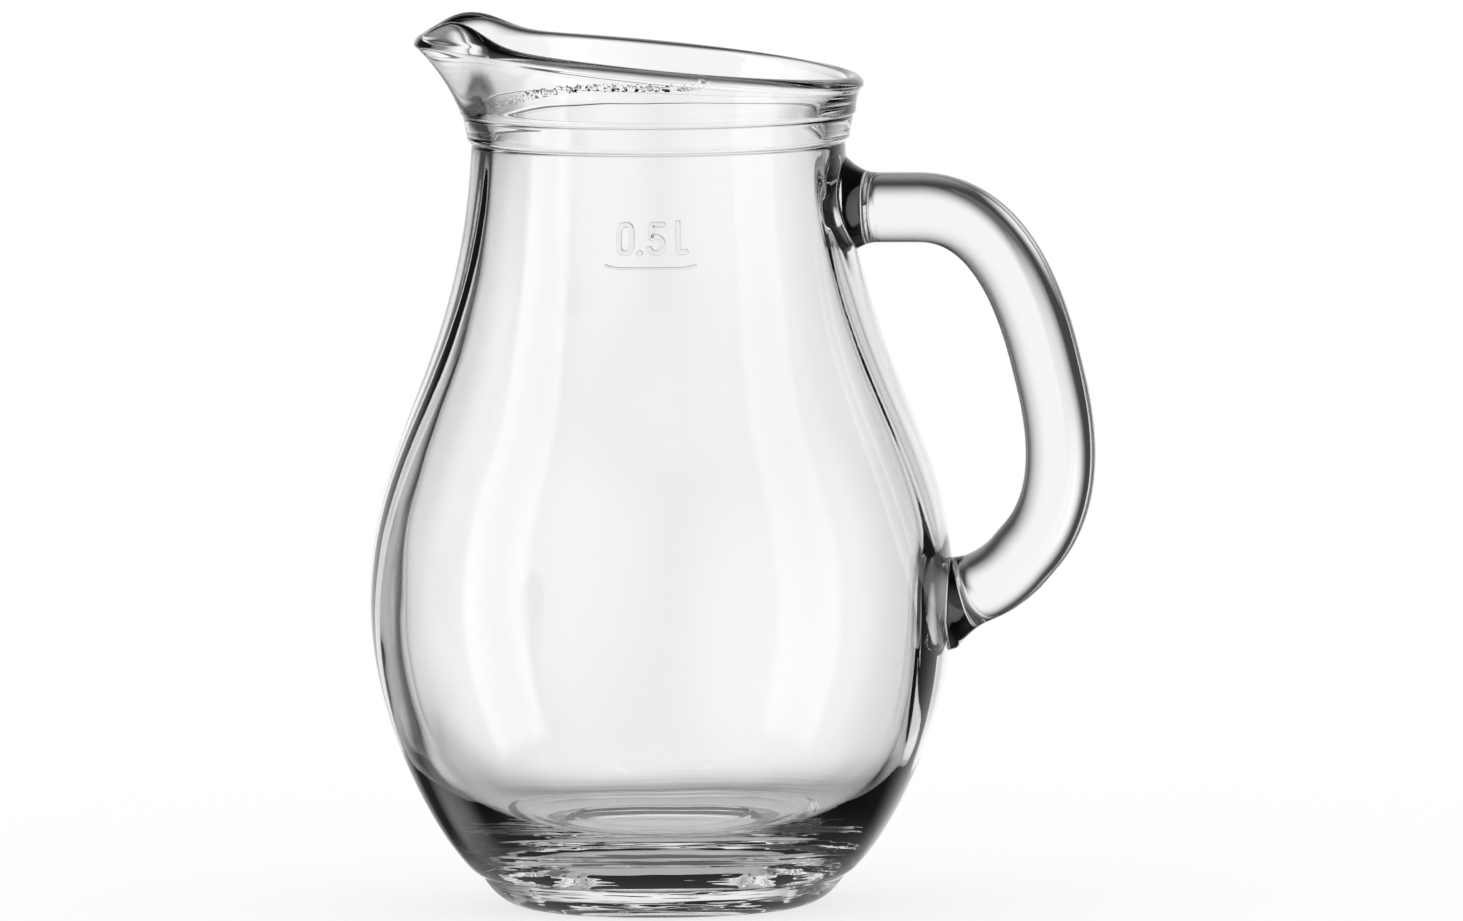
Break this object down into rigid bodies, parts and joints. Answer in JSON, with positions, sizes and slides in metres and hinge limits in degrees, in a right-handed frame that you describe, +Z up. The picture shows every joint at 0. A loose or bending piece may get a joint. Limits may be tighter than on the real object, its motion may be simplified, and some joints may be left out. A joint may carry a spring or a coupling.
{
  "type": "glass jug",
  "caption": "Clear glass half-litre jug: heavy pear-shaped vessel with a collared neck, slanted lip and pulled spout, and a solid glass rod handle stuck on at the neck and belly.",
  "frame": {"origin": "on the table plane, under the middle of the box around the jug; the vessel's own axis stands 12.3 mm from it towards the spout", "axes": "+Z up along the vessel's axis, +X towards the handle, -X towards the spout, the XZ plane is the mirror plane"},
  "size_m": [0.1244, 0.0998, 0.1522],
  "materials": {
    "vessel_glass": "clear colourless glass, fire-polished",
    "handle_glass": "clear colourless glass rod, fire-polished"
  },
  "bodies": {
    "root": {"vessel": "vessel_glass", "handle": "handle_glass"}
  },
  "joints": []
}
